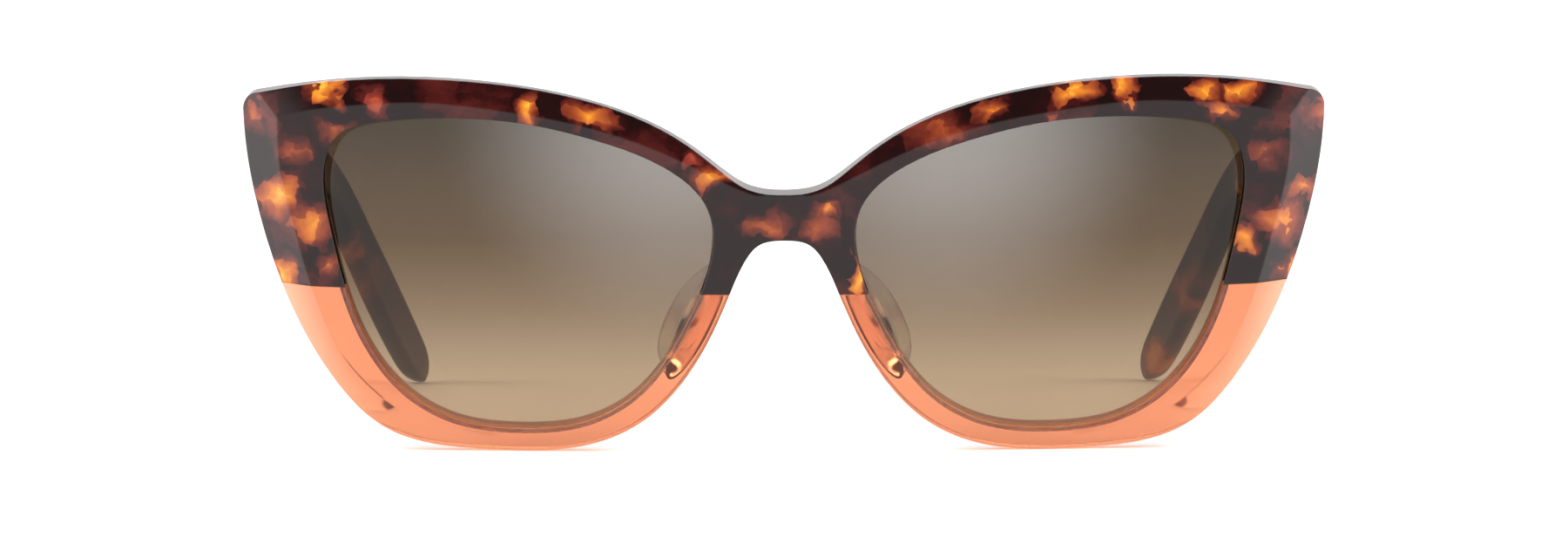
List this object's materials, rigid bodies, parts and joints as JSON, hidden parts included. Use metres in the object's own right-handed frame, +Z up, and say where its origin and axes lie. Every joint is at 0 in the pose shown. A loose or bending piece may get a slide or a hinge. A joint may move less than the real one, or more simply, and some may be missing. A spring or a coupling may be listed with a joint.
{
  "type": "cat eye sunglasses",
  "caption": "Folding acetate sunglasses with an upswept tortoise brow, peach lower rims, gradient bronze lenses and down-turned hinged temples.",
  "frame": {"origin": "centre of the bounding box, at its bottom, where the rim bottoms and temple tips rest", "axes": "+X towards the wearer's left, -Y the way the wearer looks, +Z up"},
  "size_m": [0.1492, 0.1422, 0.0516],
  "materials": {
    "tortoise": "polished",
    "peach": "polished",
    "pad": "polished",
    "lens": "polished",
    "hinge": "satin",
    "screw": "polished",
    "core": "satin"
  },
  "bodies": {
    "front": {"front_brow": "tortoise", "lower_rim_left": "peach", "lower_rim_right": "peach", "lens_left": "lens", "lens_right": "lens", "nose_pad_left": "pad", "nose_pad_right": "pad", "hinge_front_leaf_left": "hinge", "hinge_front_leaf_right": "hinge", "hinge_screw_left": "screw", "hinge_screw_right": "screw"},
    "temple_left": {"temple_left": "tortoise", "core_wire_left": "core", "hinge_temple_leaf_left": "hinge"},
    "temple_right": {"temple_right": "tortoise", "core_wire_right": "core", "hinge_temple_leaf_right": "hinge"}
  },
  "joints": [
    {"name": "hinge_left", "type": "hinge", "parent": "front", "child": "temple_left", "pos_m": [0.068, -0.05573, 0.0405], "axis": [0, 0, 1], "range_deg": [0, 84]},
    {"name": "hinge_right", "type": "hinge", "parent": "front", "child": "temple_right", "pos_m": [-0.068, -0.05573, 0.0405], "axis": [0, 0, -1], "range_deg": [0, 72]}
  ]
}
